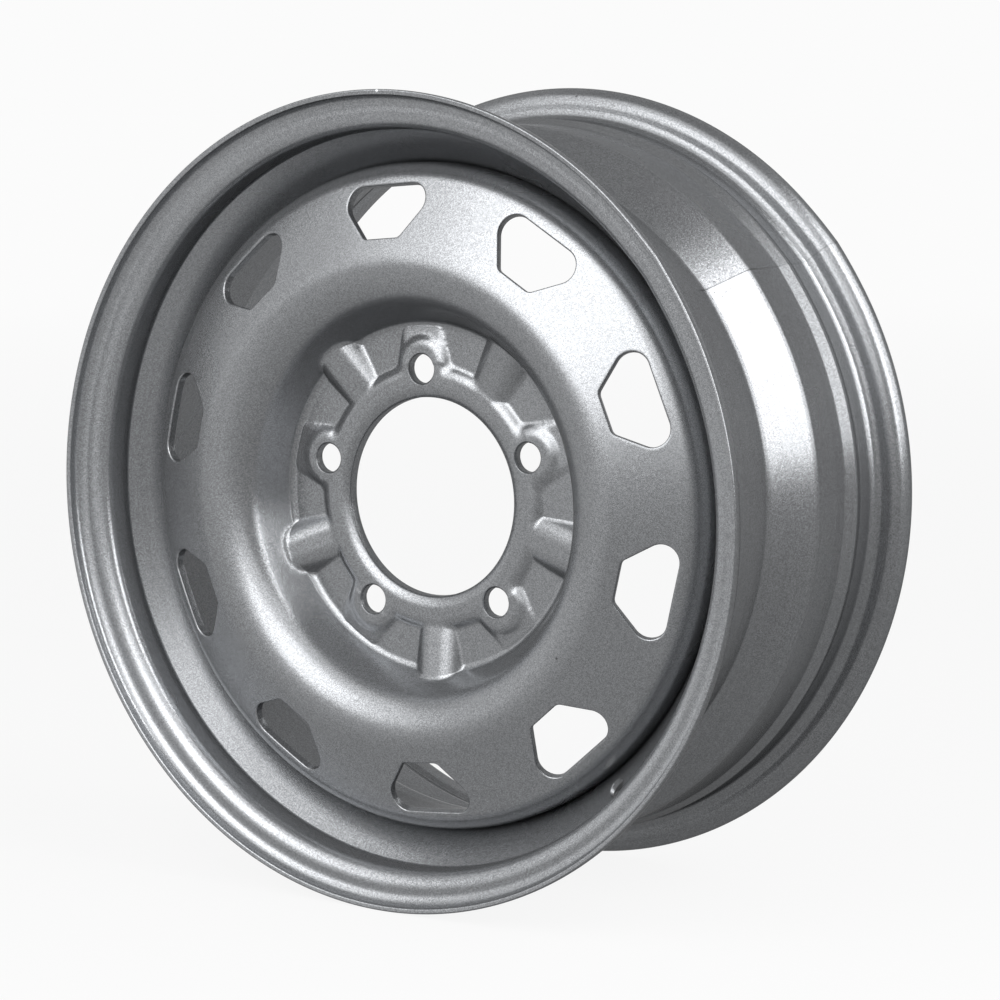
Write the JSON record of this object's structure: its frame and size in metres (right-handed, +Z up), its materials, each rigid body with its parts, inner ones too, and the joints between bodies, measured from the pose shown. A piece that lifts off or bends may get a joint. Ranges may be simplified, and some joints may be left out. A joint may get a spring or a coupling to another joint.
{
  "type": "wheel rim",
  "caption": "Pressed-steel car wheel: a drop-centre rim with a welded disc that has a raised hub face, bolt holes, a centre bore and keystone vents.",
  "frame": {"origin": "centre of the wheel: on the spin axis, halfway between the two lips of the rim", "axes": "+Y along the spin axis, towards the vehicle, so the street side faces -Y; +Z up"},
  "size_m": [0.4402, 0.1876, 0.44],
  "materials": {
    "rim_paint": "silver-grey metallic paint with a fine flake grain, satin gloss",
    "disc_paint": "silver-grey metallic paint with a fine flake grain, satin gloss",
    "weld_paint": "silver-grey metallic paint over rippled weld metal"
  },
  "bodies": {
    "root": {"rim": "rim_paint", "disc": "disc_paint", "weld_beads": "weld_paint"}
  },
  "joints": []
}
